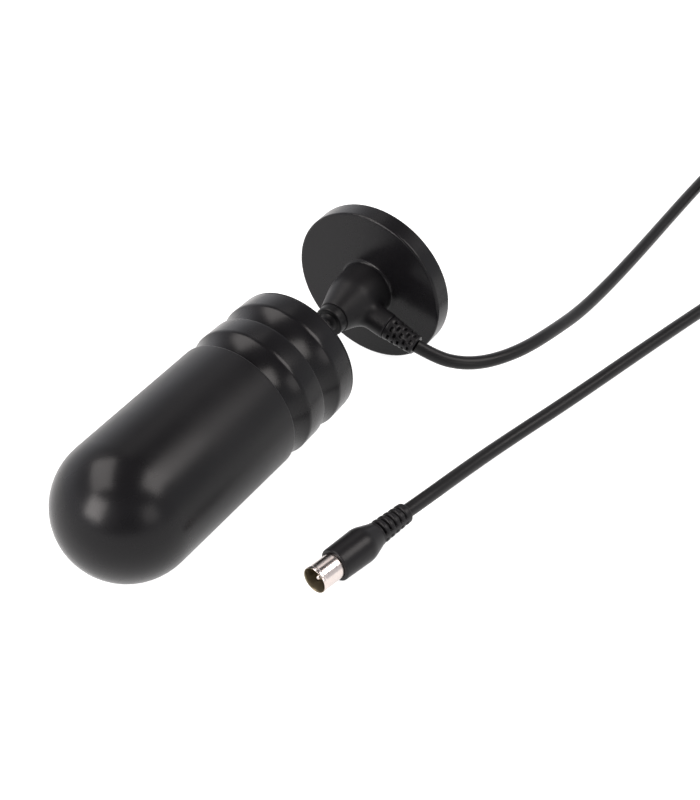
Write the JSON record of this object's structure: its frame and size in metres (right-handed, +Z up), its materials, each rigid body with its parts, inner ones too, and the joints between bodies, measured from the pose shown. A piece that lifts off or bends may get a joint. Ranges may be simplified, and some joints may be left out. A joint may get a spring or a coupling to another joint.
{
  "type": "indoor capsule aerial",
  "caption": "Capsule-shaped indoor aerial on a ball joint with a round foot, lying with its thin coaxial lead and plug.",
  "frame": {"origin": "on the surface it lies on, under the middle of the aerial's bounding box, lead left out", "axes": "+X from the dome to the foot, +Z up, relief and lead on the -Y side"},
  "size_m": [0.4124, 0.1524, 0.0615],
  "materials": {
    "black_plastic": "satin",
    "black_nylon": "satin",
    "soft_black": "satin, flexible",
    "jacket": "satin, flexible",
    "nickel": "bright nickel plate",
    "brass": "turned",
    "steel": "zinc plated",
    "magnet": "dark ferrite",
    "rubber_pad": "matte",
    "board": "solder mask",
    "copper": "tinned copper",
    "ferrite": "matte ceramic",
    "brown_plastic": "dark brown",
    "foam": "open foam",
    "tie": "flexible"
  },
  "bodies": {
    "base": {"retaining_collar": "black_nylon", "seat_spring": "steel", "foot_housing": "black_plastic", "foot_magnet": "magnet", "foot_keeper": "steel", "foot_pad": "rubber_pad", "foot_screws": "steel", "hub_relief": "soft_black", "cable_end": "jacket", "hub_lead": "jacket", "cable_lead": "jacket", "cable_tail": "jacket", "cable_coil": "jacket", "coil_tie": "tie", "plug_overmould": "soft_black", "plug_sleeve": "nickel", "plug_insulator": "brown_plastic", "plug_pin": "nickel", "plug_ferrule": "brass"},
    "seat": {"ball_seat": "black_nylon"},
    "head": {"radome_shell": "black_plastic", "rear_housing": "black_plastic", "end_plate": "black_plastic", "end_plate_screws": "steel", "antenna_board": "board", "radiator_left": "copper", "radiator_right": "copper", "balun_core": "ferrite", "balun_winding": "copper", "board_carrier": "black_plastic", "board_screws": "steel", "board_foam": "foam", "pigtail": "jacket", "ball_stud": "black_nylon", "stud_nut": "brass"}
  },
  "joints": [
    {"name": "neck_turn", "type": "hinge", "parent": "base", "child": "seat", "pos_m": [0.05399, 0, 0.02969], "axis": [0.9992, 0, 0.0406], "range_deg": [-170, 170]},
    {"name": "neck_tilt", "type": "hinge", "parent": "seat", "child": "head", "pos_m": [0.05399, 0, 0.02969], "axis": [0, 1, 0], "range_deg": [-24, 24]}
  ]
}
